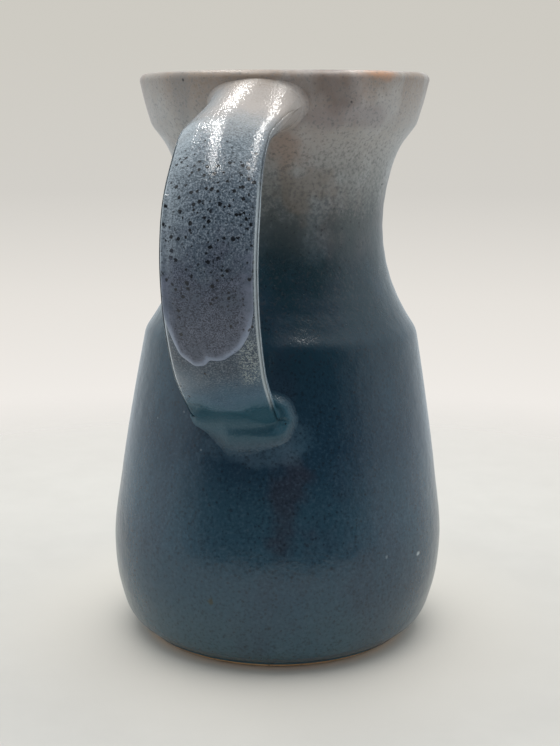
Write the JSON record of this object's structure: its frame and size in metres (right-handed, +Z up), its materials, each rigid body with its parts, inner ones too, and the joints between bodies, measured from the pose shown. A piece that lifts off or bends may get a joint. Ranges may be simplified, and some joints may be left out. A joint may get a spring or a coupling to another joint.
{
  "type": "ceramic pitcher",
  "caption": "Wheel-thrown stoneware pitcher with a rounded belly, waisted neck, upright rim collar, pulled pouring spout and a strap handle, glazed inside and out.",
  "frame": {"origin": "centre of the flat underside of the foot, on the axis the pot was thrown about", "axes": "+Z up the throwing axis to the rim, -Y towards the handle, +Y towards the spout"},
  "size_m": [0.123, 0.1669, 0.2085],
  "materials": {
    "stoneware": "matte",
    "body_glaze": "gloss",
    "liner_glaze": "gloss",
    "handle_glaze": "gloss",
    "run_glaze": "gloss"
  },
  "bodies": {
    "root": {"thrown_body": "stoneware", "outer_glaze": "body_glaze", "liner_glaze": "liner_glaze", "strap_handle": "stoneware", "upper_luting_coil": "stoneware", "lower_luting_coil": "stoneware", "handle_glaze": "handle_glaze", "glaze_run": "run_glaze"}
  },
  "joints": []
}
